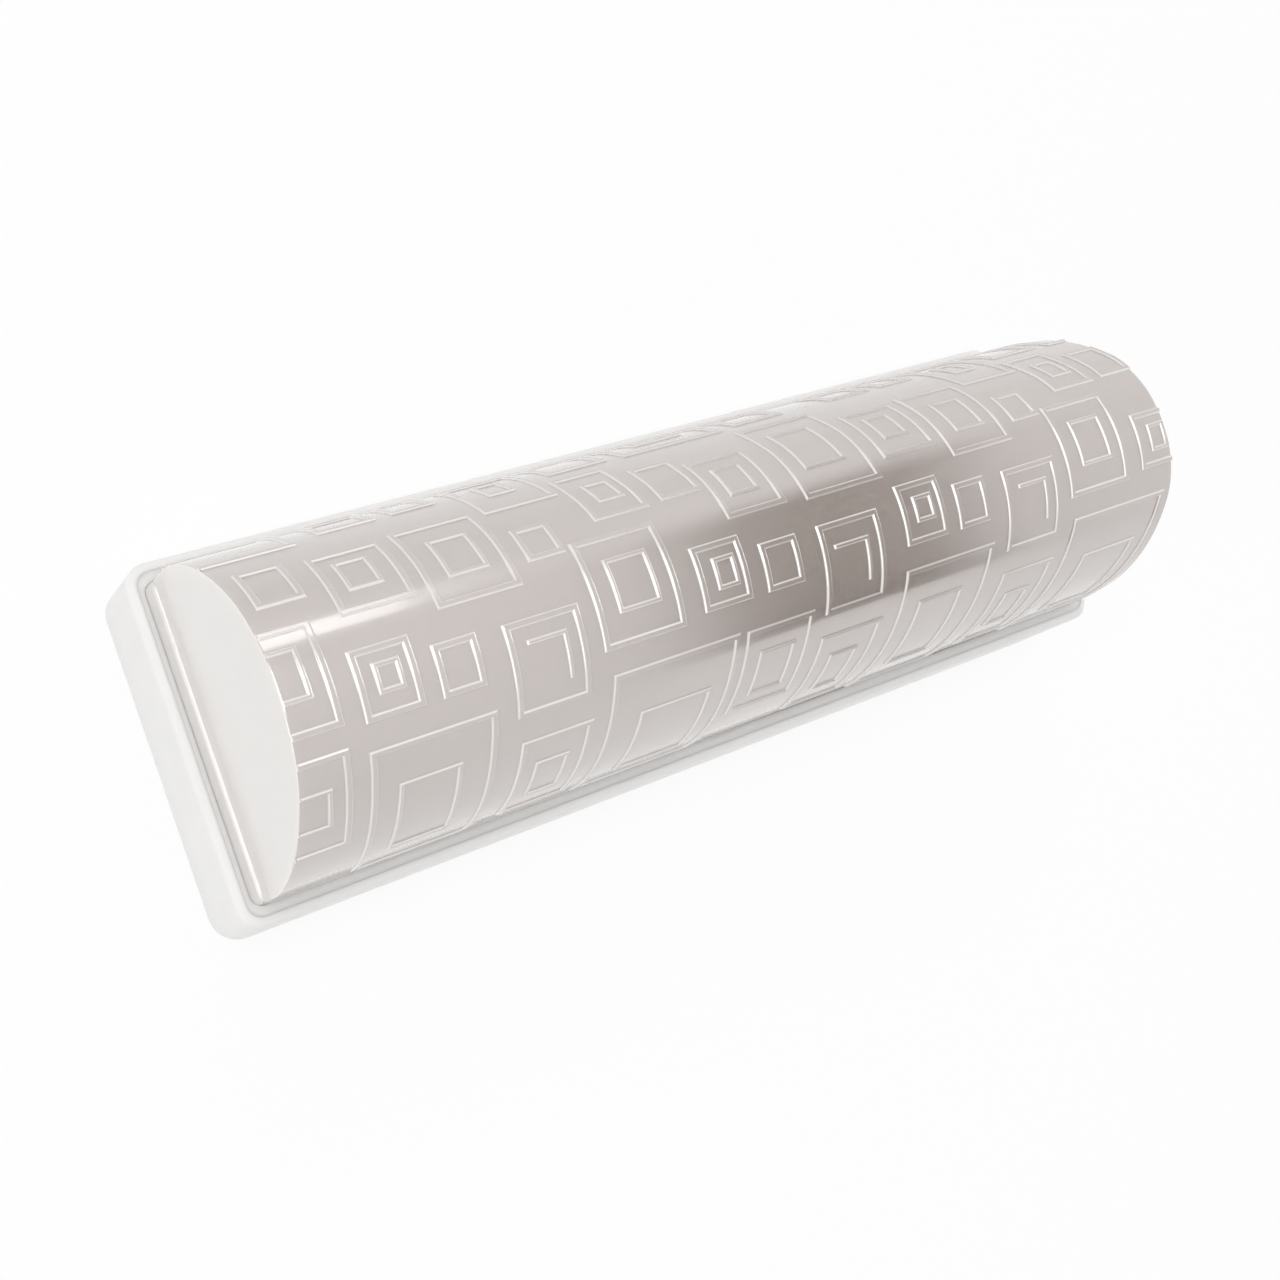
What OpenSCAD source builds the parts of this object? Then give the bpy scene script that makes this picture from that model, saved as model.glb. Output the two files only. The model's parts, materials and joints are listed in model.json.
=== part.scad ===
// Wall light: a white moulded tray that screws to the wall, two small lamps facing each other on
// a steel gear plate, and a half-round translucent diffuser that snaps into the tray's rim.
// X runs along the length, Y across, Z out from the wall. The origin is the middle of the back.

/* [Housing] */
// Length of the tray along the wall
base_l = 300; // [290:1:330]
// Width of the tray across the wall
base_w = 100; // [98:1:112]
// Height of the rim above the wall
base_h = 31.5; // [30:0.5:34]
// Plan radius of the tray's corners
base_r = 8; // [8:0.5:12]
// How far the outer wall has leant in at rim height
base_lean = 1.4; // [0.6:0.1:2]
// Width of the rim, from the tray's outline to the diffuser's joint
rim_w = 6.4; // [6:0.1:7.2]
// Radius of the rim's outer edge
rim_r = 2.2; // [1.5:0.1:2.6]
// Thickness of the tray's outer wall
wall_t = 2.2; // [1.6:0.1:2.6]
// Thickness of the rim's inner wall
inner_t = 1.9; // [1.5:0.1:2.2]
// Thickness of the tray's floor
floor_t = 2.5; // [2:0.1:3]
// Height of the ledge that the gasket lies on
ledge_z = 17.5; // [16:0.5:19]
// Width of the gasket's channel
channel_w = 5; // [4.5:0.1:6]
// Thickness of the lip inside the channel
lip_t = 1.6; // [1.2:0.1:2]

/* [Diffuser] */
// Height of the crown above the wall
crown_z = 99; // [96:1:106]
// Height at which the sides start to curve in
spring_z = 39.5; // [37:0.5:42]
// Radius of the crown
crown_r = 33; // [31:0.5:36]
// Wall thickness of the diffuser
shell_t = 2; // [1.6:0.1:2.4]
// Lean of the flat end faces, in degrees
end_lean = 3.6; // [1:0.1:6]
// Height of the straight band round the diffuser's foot
band_z = 36; // [32:0.5:38]
// Width of the band's step at the end faces
band_step = 0.4; // [0.2:0.1:0.8]
// Plan radius of the diffuser's corners
band_r = 3; // [2.1:0.1:4]
// Gap between the diffuser and the rim
joint_gap = 0.3; // [0.2:0.05:0.5]
// Width of each snap tongue
tongue_w = 12; // [8:1:18]
// Distance of the snap tongues from the middle
tongue_x = 70; // [50:1:85]

/* [Relief] */
// Height of the raised squares
rib_h = 0.6; // [0.3:0.1:0.8]
// Width of the outer squares' ribs
rib_w = 2; // [1.4:0.1:2.4]
// Width of the inner squares' ribs
fine_w = 1.5; // [1:0.1:1.8]
// Length after which the squares repeat along the diffuser
repeat_l = 157; // [156:1:170]

/* [Gear plate] */
// Gap between the gear plate's ends and the tray's lip
plate_end_gap = 3; // [2:0.5:4]
// Gap between the gear plate's sides and the tray's lip
plate_side_gap = 4; // [3.5:0.5:6]
// Height of the plate's underside above the wall
plate_z = 14; // [12:0.5:14.5]
// Thickness of the sheet steel
sheet_t = 1; // [0.8:0.1:1.4]
// Depth of the turned-down edges
hem_h = 5; // [3:0.5:7]
// Distance of the plate's screws from its ends
boss_end = 36; // [34:1:38]
// Distance of the plate's screws from its sides
boss_side = 7; // [6:0.5:9]

/* [Lamps] */
// Height of the lamps' axis above the wall
lamp_z = 50; // [45:1:55]
// Distance of the lampholders' backs from the plate's ends
holder_end = 3; // [2:0.5:5]
// Length of a lampholder
holder_l = 38; // [34:1:40]
// Outer radius of a lampholder's skirt
holder_r = 14.5; // [13.5:0.5:16]
// Radius of the lamp's threaded cap
cap_r = 6.95; // [6.8:0.05:7]
// Length of a lamp, from its tip to the end of its bulb
lamp_l = 78; // [74:1:82]
// Radius of the bulb
bulb_r = 22.5; // [20:0.5:24]
// Gap between a lamp and its holder
lamp_gap = 0.3; // [0.2:0.05:0.4]

/* [Wall fixing] */
// Distance of the wall screws' holes from the middle
fixing_x = 82; // [76:1:86]
// Radius of the wall screws' holes
fixing_r = 2.6; // [2.1:0.1:3]
// Radius of the cable's way through the grommet
cable_r = 3.6; // [3:0.1:4.2]

/* [Wiring] */
// Radius of an insulated wire
wire_r = 0.6; // [0.5:0.05:0.65]
// Distance of the terminal block from the middle
block_x = 36; // [34:0.5:38]
// Length of the terminal block
block_l = 30; // [28:0.5:31]
// Width of the terminal block
block_w = 18; // [16:0.5:20]
// Height of the terminal block
block_h = 13; // [12:0.5:14]
// Distance between the block's poles
pole_pitch = 9; // [8.6:0.1:9.4]

/* [Hidden] */
$fn = 64;
eps = 0.01;
play = 0.1;

lean_a = atan(base_lean / base_h);
rim_cz = base_h - rim_r;
rim_cd = rim_cz * tan(lean_a) + rim_r / cos(lean_a);
rim_top_t = 3.6;
rim_flat = 0.1;
rim_inner_r = 0.8;
rim_foot_z = base_h - 5.5;
ledge_t = 2;
lip_d = rim_w + channel_w;
lip_z = ledge_z + 2;
tray_in = lip_d + lip_t;
corner_r = 2;

skirt_z = ledge_z + 2.5;
dome_a = base_w / 2 - rim_w - joint_gap;
dome_b = crown_z - spring_z;
side_r = (dome_a * dome_a + (dome_b - crown_r) * (dome_b - crown_r) - crown_r * crown_r)
    / (2 * (dome_a - crown_r));
side_c = side_r - dome_a;
crown_c = dome_b - crown_r;
shoulder_a = atan2(side_c, crown_c);
foot_x = base_l / 2 - rim_w - joint_gap;
tongue_t = 1.8;
tongue_z = 10;
tongue_root = 5;
skin_d = rib_h;
inner_skin_d = rib_h + shell_t;
crown_t = (crown_r - skin_d) * shoulder_a * PI / 180;
side_t = crown_t + (side_r - skin_d) * (90 - shoulder_a) * PI / 180;
rib_root = 0.4;
rib_step = 9;
rib_least = 4;

plate_l = base_l - 2 * (tray_in + plate_end_gap);
plate_w = base_w - 2 * (tray_in + plate_side_gap);
plate_r = 4;
hem_in = 20;
boss_x = plate_l / 2 - boss_end;
boss_y = plate_w / 2 - boss_side;
holder_x = plate_l / 2 - holder_end;
plate_top = plate_z + sheet_t;
window = [-14, 56];
window_w = 44;
boss_r = 3.5;
pilot_r = 1.4;
thread_r = 1.3;
head_r = 2.8;
head_h = 1.8;
driver_r = 6;
plate_screw_l = 8;
tag_screw_l = 6;
clamp_screw_l = 9;
pillar_r = 3;

bracket_t = 1.2;
bracket_w = 30;
foot_l = 28;
foot_slot = [12, 6];
foot_screw = [21, 9];
nipple_r = 4.9;
nipple_l = 7;
nipple_in = 3.2;
back_t = 1;
nut_t = 3;
nut_r = 8;
step_at = [16, 17.5];
skirt_edge = 1.5;
socket_z = 6;
socket_r = 9.5;
shell_in = cap_r + lamp_gap;
contact_h = 3;
contact_r = 2;
contact_base = [3.4, 1];
shell_l = 22;
fit = 0.2;
tip_z = socket_z + contact_h + lamp_gap;
cap_l = 27;
glass_t = 1;
wire_hole_r = wire_r + 0.35;
wire_at = [4, 10];
wire_end = 11;
wire_ref = [1, 1, 1.5];

grommet_r = 7.8;
flange_r = 9.6;
flange_t = 1.2;
collar_r = 5.5;
collar_h = 3.5;
seal_t = 1.5;

pedestal_h = 3.5;
block_z = floor_t + pedestal_h;
pole_z = block_z + 6.5;
tube_r = 2.1;
tube_in = 1.4;
pole_screw_y = 5;
pole_screw_r = 1.2;
pole_screw_l = 4.5;
pole_hole_r = 1.6;
block_sink = 2;
block_screw_size = [1.1, 1.8, 1.6];
clamp_x = 14;
clamp_y = 9;
clamp_z = 10;
clamp_bar = [6, 25, 3];
tag_side = 6;
earth_at = [-32, plate_w / 2 - tag_side];
tag_r = 3.6;
tag_t = 0.8;
tag_tail = [10, 3];
live_lane = [14, 7];
neutral_lane = [18, 4.5];
side_by_side = wire_r + 0.05;

// The relief's squares: from and to along X, from and to round the section from the crown.
START_OUTER = [
    [-base_l, -126.5, -12.5, 13], [-base_l, -126.7, -49.5, -17.5],
    [-136, -124, 19, 35], [-base_l, -116.5, 43.5, 74]
];
START_INNER = [[-base_l, -131.5, -4.7, 8], [-base_l, -131.5, -39.5, -26.5]];
OUTER = [
    [-122, -107, -14, 3], [-103, -91.5, -14, -1], [-85, -64.5, -25.5, -1.5],
    [-60.5, -36.5, -15.5, 13], [-31, -16, -14, 3], [-11.5, 0.5, -14, -1], [7, 27.5, -26, -1],
    [-119.5, -100.5, 11, 33], [-98, -75.5, 6, 34.5], [-72, -61.5, 11, 22], [-73, -52, 31.5, 62],
    [-50.5, -34, 17, 40.5], [-30.5, -17.5, 17.5, 34.5], [-16.5, 2.5, 7, 30], [8, 34, 6, 41],
    [-122.5, -90, -75, -20.5], [-83.5, -63, -70, -33.5], [-58.5, -20.5, -78, -22],
    [-18.5, 3.5, -54.5, -22.5], [7.5, 29, -70, -33.5],
    [-110, -94.5, 47.5, 64], [-90.5, -78, 48, 70], [-47, -29, 46, 72], [-24.5, 8, 45, 78],
    [13, 30, 47, 66]
];
INNER = [
    [-117.5, -110.5, -8.5, -1], [-54.5, -42, -7.5, 6.5], [-26, -19, -9.5, -1],
    [-115, -106, 17, 28], [-92, -81, 13, 26.5], [-66.5, -58.5, 41.5, 54], [-45.5, -37.5, 23, 33],
    [-12, -2.5, 13, 24], [13, 27, 14.5, 33],
    [-115.5, -99, -62, -32.5], [-78.5, -68.5, -60, -43], [-49, -27, -68, -37.5],
    [-13.5, -1.5, -48, -30.5], [13, 23, -60, -42], [-16, 0, 54, 71]
];
HOOKS = [[-80, -69, -19, -6.5], [11, 22.7, -19.5, -7]];

// A rectangle with rounded corners, centred.
module rounded_rect(l, w, r) {
    square([l - 2 * r, w], center = true);
    square([l, w - 2 * r], center = true);
    for (x = [-1, 1], y = [-1, 1])
        translate([x * (l / 2 - r), y * (w / 2 - r)]) circle(r);
}

// The tray's outline drawn in by d.
module tray_plan(d, r) {
    rounded_rect(base_l - 2 * d, base_w - 2 * d, r);
}

// A standing ring that follows the tray's outline between two set-backs.
module tray_ring(d0, d1, z0, z1, r0 = corner_r, r1 = corner_r) {
    translate([0, 0, z0])
        linear_extrude(z1 - z0)
            difference() {
                tray_plan(d0, r0);
                tray_plan(d1, r1);
            }
}

// Section of the hollow outer wall and rim: first coordinate inwards, second upwards.
module rim_section() {
    core_z = base_h - rim_top_t;
    inner_z = base_h - rim_inner_r;
    inner_d = rim_cd + rim_flat;
    run = [rim_w - inner_d, inner_z - rim_foot_z];
    slope_a = acos(rim_inner_r / norm(run)) - atan2(run[1], run[0]);
    intersection() {
        translate([rim_cd, rim_cz]) circle(rim_r);
        square([rim_cd, base_h]);
    }
    translate([inner_d, inner_z]) circle(rim_inner_r);
    polygon([
        [0, 0],
        [rim_cd - rim_r * cos(lean_a), rim_cz + rim_r * sin(lean_a)],
        [rim_cd, rim_cz],
        [rim_cd, base_h],
        [inner_d, base_h],
        [inner_d, inner_z],
        [inner_d + rim_inner_r * cos(slope_a), inner_z + rim_inner_r * sin(slope_a)],
        [rim_w, rim_foot_z],
        [rim_w, ledge_z - ledge_t],
        [rim_w - inner_t, ledge_z - ledge_t],
        [rim_w - inner_t, core_z],
        [wall_t + core_z * tan(lean_a), core_z],
        [wall_t, 0]
    ]);
}

// The rim section swept round the tray: four straight runs and four corners.
module rim() {
    run_x = base_l / 2 - base_r;
    run_y = base_w / 2 - base_r;
    for (end = [0, 180]) {
        rotate([0, 0, end])
            translate([base_l / 2, 0, 0])
                rotate([90, 0, 0])
                    linear_extrude(2 * run_y, center = true)
                        mirror([1, 0]) rim_section();
        rotate([0, 0, end])
            translate([0, base_w / 2, 0])
                rotate([90, 0, 90])
                    linear_extrude(2 * run_x, center = true)
                        mirror([1, 0]) rim_section();
    }
    for (c = [[1, 1, 0], [-1, 1, 90], [-1, -1, 180], [1, -1, 270]])
        translate([c[0] * run_x, c[1] * run_y, 0])
            rotate([0, 0, c[2]])
                rotate_extrude(angle = 90)
                    translate([base_r, 0]) mirror([1, 0]) rim_section();
}

module at_bosses() {
    for (x = [-1, 1], y = [-1, 1]) translate([x * boss_x, y * boss_y, 0]) children();
}

module at_fixings() {
    for (x = [-1, 1]) translate([x * fixing_x, 0, 0]) children();
}

module at_clamp_pillars() {
    for (y = [-1, 1]) translate([clamp_x, y * clamp_y, 0]) children();
}

// Moulded tray with a hollow rim, the gasket's channel, screw bosses and collars.
module base_housing() {
    color([0.93, 0.92, 0.91]) difference() {
        union() {
            rim();
            tray_ring(rim_w - inner_t, tray_in, ledge_z - ledge_t, ledge_z, base_r - rim_w + inner_t);
            tray_ring(lip_d, tray_in, 0, lip_z);
            linear_extrude(floor_t) tray_plan(lip_d, corner_r);
            at_bosses() cylinder(r = boss_r, h = plate_z);
            at_fixings() cylinder(r = collar_r, h = floor_t + collar_h);
            at_clamp_pillars() cylinder(r = pillar_r, h = clamp_z);
            translate([block_x - block_l / 2 + 1, 1 - block_w / 2, 0])
                cube([block_l - 2, block_w - 2, block_z]);
        }
        at_bosses() translate([0, 0, floor_t + 1]) cylinder(r = pilot_r, h = plate_z);
        at_fixings() translate([0, 0, -1]) cylinder(r = fixing_r, h = floor_t + collar_h + 2);
        at_clamp_pillars() translate([0, 0, floor_t]) cylinder(r = pilot_r, h = clamp_z);
        translate([0, 0, -1]) cylinder(r = grommet_r + play, h = floor_t + 2);
        translate([0, 0, -1]) cylinder(r = flange_r + play, h = flange_t + 1);
        translate([block_x - pole_pitch / 2, 0, floor_t - 1]) cylinder(r = pilot_r, h = block_z);
    }
}

// Rubber grommet that grips the floor's edge between two flanges.
module cable_grommet() {
    color([0.2, 0.2, 0.2]) rotate_extrude() polygon([
        [cable_r, play],
        [flange_r, play],
        [flange_r, flange_t - play],
        [grommet_r, flange_t - play],
        [grommet_r, floor_t],
        [flange_r, floor_t],
        [flange_r, floor_t + flange_t],
        [cable_r + 1.5, floor_t + flange_t + 1.5],
        [cable_r, floor_t + flange_t + 1.5]
    ]);
}

// Rubber washers that seal the wall screws' collars.
module fixing_seals() {
    color([0.25, 0.25, 0.25]) at_fixings() translate([0, 0, floor_t + collar_h])
        difference() {
            cylinder(r = collar_r, h = seal_t);
            translate([0, 0, -1]) cylinder(r = fixing_r - 0.4, h = seal_t + 2);
        }
}

// Foam strip in the channel, under the diffuser's edge.
module rim_gasket() {
    color([0.85, 0.85, 0.83])
        tray_ring(rim_w + play, lip_d - play, ledge_z, skirt_z, base_r - rim_w, corner_r);
}

// White sheet-steel plate with turned-down long edges and a window over the terminals.
module gear_plate() {
    color([0.9, 0.9, 0.9]) difference() {
        union() {
            translate([0, 0, plate_z]) linear_extrude(sheet_t) rounded_rect(plate_l, plate_w, plate_r);
            for (y = [-1, 1])
                translate([0, y * (plate_w - sheet_t) / 2, plate_top - hem_h / 2])
                    cube([plate_l - 2 * hem_in, sheet_t, hem_h], center = true);
        }
        translate([window[0], -window_w / 2, plate_z - 1])
            cube([window[1] - window[0], window_w, sheet_t + 2]);
        translate([0, 0, plate_z - 1]) {
            at_bosses() cylinder(r = pilot_r + fit, h = sheet_t + 2);
            at_fixings() cylinder(r = driver_r, h = sheet_t + 2);
            for (side = [-1, 1], a = wire_at)
                translate([side * (holder_x - a), 0, 0]) cylinder(r = 2.2, h = sheet_t + 2);
            for (side = [-1, 1], y = [-1, 1])
                translate([side * (holder_x - foot_screw[0]), y * foot_screw[1], 0])
                    cylinder(r = pilot_r, h = sheet_t + 2);
            translate(earth_at) cylinder(r = pilot_r, h = sheet_t + 2);
        }
    }
}

// Pan-head screw with its head's underside at the origin and a driver slot.
module pan_screw(l, r = thread_r, head = head_r, h = head_h) {
    difference() {
        union() {
            translate([0, 0, -l]) cylinder(r = r, h = l + eps);
            cylinder(r1 = head, r2 = head * 0.8, h = h);
        }
        translate([0, 0, h]) cube([2 * head, head / 4, h], center = true);
    }
}

module gear_screws() {
    color([0.75, 0.76, 0.78]) at_bosses() translate([0, 0, plate_top]) pan_screw(plate_screw_l);
}

// Right end's pieces are the left end's, mirrored.
module at_end(side) {
    mirror([side > 0 ? 1 : 0, 0, 0]) children();
}

// A lampholder's own frame: origin on its back, Z along the lamp towards the middle.
module lamp_axis(side) {
    at_end(side) translate([-holder_x, 0, lamp_z]) rotate([0, 90, 0]) children();
}

// Steel angle that carries a lampholder on the gear plate.
module bracket(side) {
    color([0.78, 0.79, 0.8]) at_end(side) difference() {
        union() {
            translate([-holder_x - bracket_t, 0, 0]) rotate([90, 0, 90])
                linear_extrude(bracket_t) {
                    translate([0, lamp_z]) circle(bracket_w / 2);
                    translate([-bracket_w / 2, plate_top])
                        square([bracket_w, lamp_z - plate_top]);
                }
            translate([-holder_x - bracket_t, -bracket_w / 2, plate_top])
                cube([foot_l + bracket_t, bracket_w, bracket_t]);
        }
        translate([-holder_x - 2 * bracket_t, 0, lamp_z]) rotate([0, 90, 0])
            cylinder(r = nipple_r + play, h = 3 * bracket_t);
        translate([-holder_x + 1, -foot_slot[1] / 2, plate_top - 1])
            cube([foot_slot[0], foot_slot[1], bracket_t + 2]);
        for (y = [-1, 1])
            translate([-holder_x + foot_screw[0], y * foot_screw[1], plate_top - 1])
                cylinder(r = pilot_r + fit, h = bracket_t + 2);
    }
}

module bracket_left() { bracket(-1); }
module bracket_right() { bracket(1); }

module bracket_screws() {
    color([0.75, 0.76, 0.78]) for (side = [-1, 1], y = [-1, 1])
        at_end(side)
            translate([-holder_x + foot_screw[0], y * foot_screw[1], plate_top + bracket_t])
                pan_screw(tag_screw_l);
}

// Moulded lampholder: hollow nipple, closed back and a skirt round the screw shell.
module lampholder(side) {
    body_r = holder_r - 1;
    color([0.88, 0.87, 0.84]) difference() {
        lamp_axis(side) rotate_extrude() polygon([
            [nipple_in, -nipple_l], [nipple_r, -nipple_l], [nipple_r, 0], [body_r, 0],
            [body_r, step_at[0]], [holder_r, step_at[1]], [holder_r, holder_l - skirt_edge],
            [holder_r - skirt_edge, holder_l], [socket_r, holder_l], [socket_r, socket_z],
            [0, socket_z], [0, back_t], [nipple_in, back_t]
        ]);
        for (a = wire_at) at_end(side)
            translate([a - holder_x, 0, lamp_z - holder_r - 1])
                cylinder(r = wire_hole_r, h = holder_r + 1 - wire_end + 0.5);
    }
}

module lampholder_left() { lampholder(-1); }
module lampholder_right() { lampholder(1); }

// Hexagon nuts that hold the nipples behind the brackets.
module holder_nuts() {
    color([0.72, 0.68, 0.55]) for (side = [-1, 1])
        lamp_axis(side) translate([0, 0, -bracket_t - nut_t]) difference() {
            cylinder(r = nut_r, h = nut_t, $fn = 6);
            translate([0, 0, -1]) cylinder(r = nipple_r + play, h = nut_t + 2);
        }
}

// Threaded shell's sleeve inside a lampholder.
module screw_shell(side) {
    color([0.8, 0.7, 0.45]) lamp_axis(side) translate([0, 0, socket_z]) difference() {
        cylinder(r = socket_r - fit, h = shell_l);
        translate([0, 0, -1]) cylinder(r = shell_in, h = shell_l + 2);
    }
}

module screw_shell_left() { screw_shell(-1); }
module screw_shell_right() { screw_shell(1); }

module centre_contact(side) {
    color([0.8, 0.7, 0.45]) lamp_axis(side) translate([0, 0, socket_z]) {
        cylinder(r = contact_base[0], h = contact_base[1]);
        cylinder(r = contact_r, h = contact_h);
    }
}

module centre_contact_left() { centre_contact(-1); }
module centre_contact_right() { centre_contact(1); }

module at_poles() {
    for (p = [-1, 0, 1]) translate([block_x + p * pole_pitch, 0, 0]) children();
}

// Three-pole terminal block on its pedestal.
module terminal_block() {
    color([0.95, 0.95, 0.92]) difference() {
        translate([block_x - block_l / 2, -block_w / 2, block_z])
            cube([block_l, block_w, block_h]);
        at_poles() {
            translate([0, 0, pole_z]) rotate([90, 0, 0])
                cylinder(r = tube_r + play, h = block_w + 2, center = true);
            for (y = [-1, 1]) translate([0, y * pole_screw_y, pole_z])
                cylinder(r = pole_hole_r, h = block_h);
        }
        translate([block_x - pole_pitch / 2, 0, block_z - 1])
            cylinder(r = block_screw_size[0] + fit, h = block_h + 2);
        translate([block_x - pole_pitch / 2, 0, block_z + block_h - block_sink])
            cylinder(r = block_screw_size[1] + fit, h = block_sink + 1);
    }
}

module terminal_tubes() {
    color([0.82, 0.72, 0.42]) at_poles() difference() {
        translate([0, 0, pole_z]) rotate([90, 0, 0]) difference() {
            cylinder(r = tube_r, h = block_w - 2, center = true);
            cylinder(r = tube_in, h = block_w, center = true);
        }
        for (y = [-1, 1]) translate([0, y * pole_screw_y, pole_z])
            cylinder(r = pole_screw_r + play, h = block_h);
    }
}

module terminal_screws() {
    color([0.75, 0.76, 0.78]) at_poles() for (y = [-1, 1])
        translate([0, y * pole_screw_y, pole_z + wire_r + fit])
            cylinder(r = pole_screw_r, h = pole_screw_l);
}

module block_screw() {
    color([0.75, 0.76, 0.78])
        translate([block_x - pole_pitch / 2, 0, block_z + block_h - block_sink])
            pan_screw(block_h + pedestal_h - block_sink - 1, block_screw_size[0],
                block_screw_size[1], block_screw_size[2]);
}

// Bar that holds the supply cable down beside the grommet.
module cord_clamp() {
    color([0.9, 0.9, 0.88]) difference() {
        translate([clamp_x, 0, clamp_z + clamp_bar[2] / 2]) cube(clamp_bar, center = true);
        at_clamp_pillars() translate([0, 0, clamp_z - 1])
            cylinder(r = pilot_r + fit, h = clamp_bar[2] + 2);
    }
}

module clamp_screws() {
    color([0.75, 0.76, 0.78]) at_clamp_pillars()
        translate([0, 0, clamp_z + clamp_bar[2]]) pan_screw(clamp_screw_l);
}

// Ring tag under the earth screw, with a barrel plate for its wire.
module earth_tag() {
    color([0.85, 0.85, 0.86]) translate([earth_at[0], earth_at[1], plate_top]) difference() {
        union() {
            cylinder(r = tag_r, h = tag_t);
            translate([0, -tag_tail[1] / 2, 0]) cube([tag_tail[0], tag_tail[1], tag_t]);
        }
        translate([0, 0, -1]) cylinder(r = pilot_r + fit, h = tag_t + 2);
    }
}

module earth_screw() {
    color([0.8, 0.72, 0.45])
        translate([earth_at[0], earth_at[1], plate_top + tag_t]) pan_screw(tag_screw_l);
}

// An eight-sided wire swept along a list of points. No run may point along wire_ref.
function unit(v) = v / norm(v);
function heading(p, i) =
    unit((i > 0 ? unit(p[i] - p[i - 1]) : [0, 0, 0])
        + (i < len(p) - 1 ? unit(p[i + 1] - p[i]) : [0, 0, 0]));
function wire_ring(c, t, sides) =
    let (u = unit(wire_ref - (wire_ref * t) * t), v = cross(t, u))
    [for (k = [0 : sides - 1])
        c + wire_r * (cos(360 * k / sides) * u + sin(360 * k / sides) * v)];
module wire(points, sides = 8) {
    n = len(points);
    rings = [for (i = [0 : n - 1]) each wire_ring(points[i], heading(points, i), sides)];
    start_cap = [for (k = [0 : sides - 1]) k];
    end_cap = [for (k = [sides - 1 : -1 : 0]) (n - 1) * sides + k];
    skin = [for (i = [0 : n - 2], k = [0 : sides - 1])
        let (a = i * sides + k, b = i * sides + (k + 1) % sides)
        each [[a, a + sides, b], [b, a + sides, b + sides]]];
    polyhedron(rings, concat([start_cap], skin, [end_cap]));
}

// From a pole to the holder at one end: out, down to its lane, along, in and up.
module holder_wire(side, pole, lane, rise) {
    lane_y = lane[0];
    lane_z = lane[1];
    px = block_x + pole * pole_pitch + side * side_by_side;
    rx = side * (holder_x - rise);
    wire([
        [px, 2, pole_z],
        [px, block_w / 2 + 1, pole_z],
        [px + side * 2, lane_y - 2, pole_z - 1.5],
        [px + side * 7, lane_y, lane_z + 2.5],
        [px + side * 12, lane_y, lane_z],
        [rx - side * 3, lane_y, lane_z],
        [rx, lane_y - 3, lane_z],
        [rx, 3, lane_z],
        [rx, 0, lane_z + 3],
        [rx, 0, lamp_z - wire_end]
    ]);
}

module live_wires() {
    color([0.45, 0.25, 0.15]) for (side = [-1, 1]) holder_wire(side, 1, live_lane, wire_at[1]);
}

module neutral_wires() {
    color([0.2, 0.35, 0.7]) for (side = [-1, 1]) holder_wire(side, -1, neutral_lane, wire_at[0]);
}

module earth_wire() {
    color([0.35, 0.6, 0.25]) wire([
        [block_x, 2, pole_z],
        [block_x, block_w / 2 + 1, pole_z],
        [block_x - 1, 13, pole_z + 2],
        [block_x - 6, 18, pole_z + 4.5],
        [block_x - 18, earth_at[1] - 3, pole_z + 5],
        [earth_at[0] + 16, earth_at[1] - 1, plate_top + 2.5],
        [earth_at[0] + 9, earth_at[1], plate_top + tag_t + play + wire_r],
        [earth_at[0] + 5, earth_at[1], plate_top + tag_t + play + wire_r]
    ]);
}

// A lamp's own frame: origin at its tip.
module lamp_place(side) {
    lamp_axis(side) translate([0, 0, tip_z]) children();
}

module lamp_cap(side) {
    color([0.8, 0.78, 0.7]) lamp_place(side) rotate_extrude() polygon([
        [4.2, 3], [cap_r - 0.8, 3], [cap_r, 4], [cap_r, cap_l - 3], [8.4, cap_l - 0.5],
        [8.4, cap_l], [7.4, cap_l], [cap_r - 0.8, cap_l - 3], [cap_r - 0.8, 4], [4.2, 4]
    ]);
}

module lamp_cap_left() { lamp_cap(-1); }
module lamp_cap_right() { lamp_cap(1); }

// Black glass insulator with the solder tip.
module lamp_tip(side) {
    color([0.15, 0.15, 0.15]) lamp_place(side) rotate_extrude() polygon([
        [0, 0], [2, 0], [2.4, 0.8], [cap_r - 1.6, 2.9], [cap_r - 1.6, 3], [4.1, 3], [4.1, 4],
        [0, 4]
    ]);
}

module lamp_tip_left() { lamp_tip(-1); }
module lamp_tip_right() { lamp_tip(1); }

// Half section of a bulb's outside, drawn in by d.
module bulb_half(d) {
    c = lamp_l - bulb_r;
    intersection() {
        union() {
            translate([0, c]) circle(bulb_r - d);
            polygon([
                [0, cap_l - 1], [8.2 - d, cap_l - 1], [8.2 - d, cap_l],
                [(bulb_r - d) * cos(43), c - (bulb_r - d) * sin(43)], [0, c]
            ]);
        }
        translate([0, cap_l - 1]) square([bulb_r, lamp_l]);
    }
}

module bulb(side) {
    color([0.95, 0.95, 0.93]) lamp_place(side) rotate_extrude() difference() {
        intersection() {
            bulb_half(0);
            translate([0, cap_l]) square([bulb_r, lamp_l]);
        }
        bulb_half(glass_t);
    }
}

module bulb_left() { bulb(-1); }
module bulb_right() { bulb(1); }

// Half of an oval of three arcs over straight sides, drawn in by d, from z0 up.
module dome_section(d, z0) {
    half = dome_a - d;
    intersection() {
        translate([0, spring_z]) {
            translate([0, crown_c]) circle(crown_r - d, $fn = 256);
            intersection() {
                translate([-side_c, 0]) circle(side_r - d, $fn = 256);
                translate([side_c, 0]) circle(side_r - d, $fn = 256);
                translate([-half, 0]) square([2 * half, crown_c + (crown_r - d) * cos(shoulder_a)]);
            }
        }
        translate([-half, z0]) square([2 * half, crown_z]);
    }
    translate([-half, z0]) square([2 * half, spring_z - z0 + eps]);
}

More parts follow.
